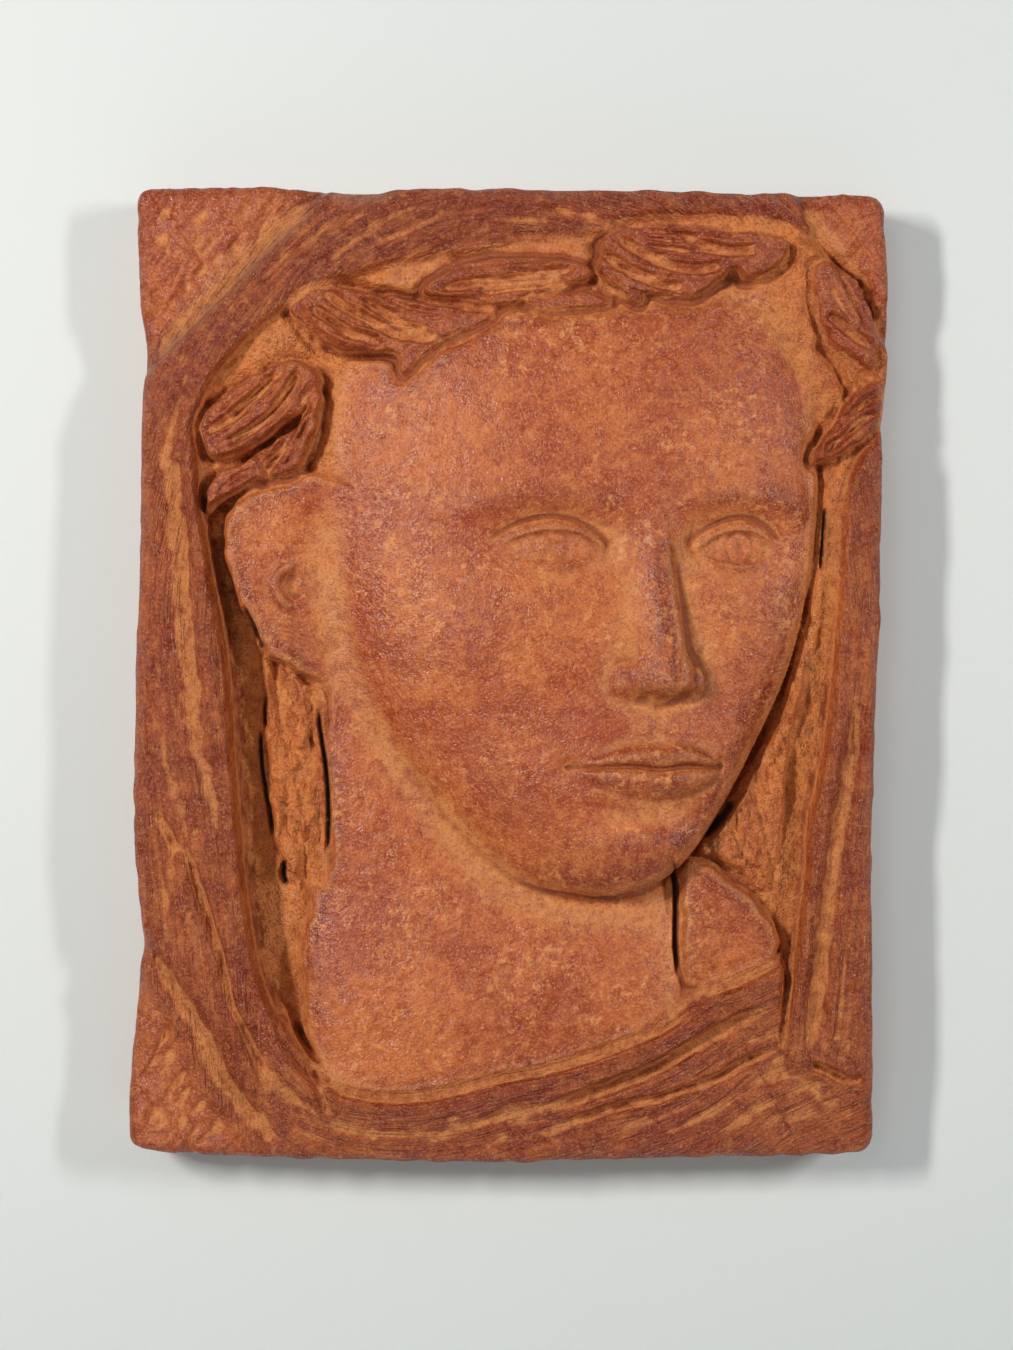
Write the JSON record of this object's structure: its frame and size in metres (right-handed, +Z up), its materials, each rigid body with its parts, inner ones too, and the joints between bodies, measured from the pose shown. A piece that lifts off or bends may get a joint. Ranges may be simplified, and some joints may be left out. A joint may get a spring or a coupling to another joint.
{
  "type": "terracotta wall relief",
  "caption": "Portrait-format clay relief for a wall: a veiled head, half turned, with hair, neck and draped robe carved out of a thick hand-cut slab with a flat back.",
  "frame": {"origin": "centre of the flat back, where it rests against the wall", "axes": "+Z up, -Y out of the carved front, +Y into the wall, +X to the right of someone who looks at the carving"},
  "size_m": [0.1541, 0.0287, 0.1976],
  "materials": {
    "terracotta": "unglazed fired clay, matt in the cuts, dark and slightly waxed on the raised parts"
  },
  "bodies": {
    "root": {"relief": "terracotta"}
  },
  "joints": []
}
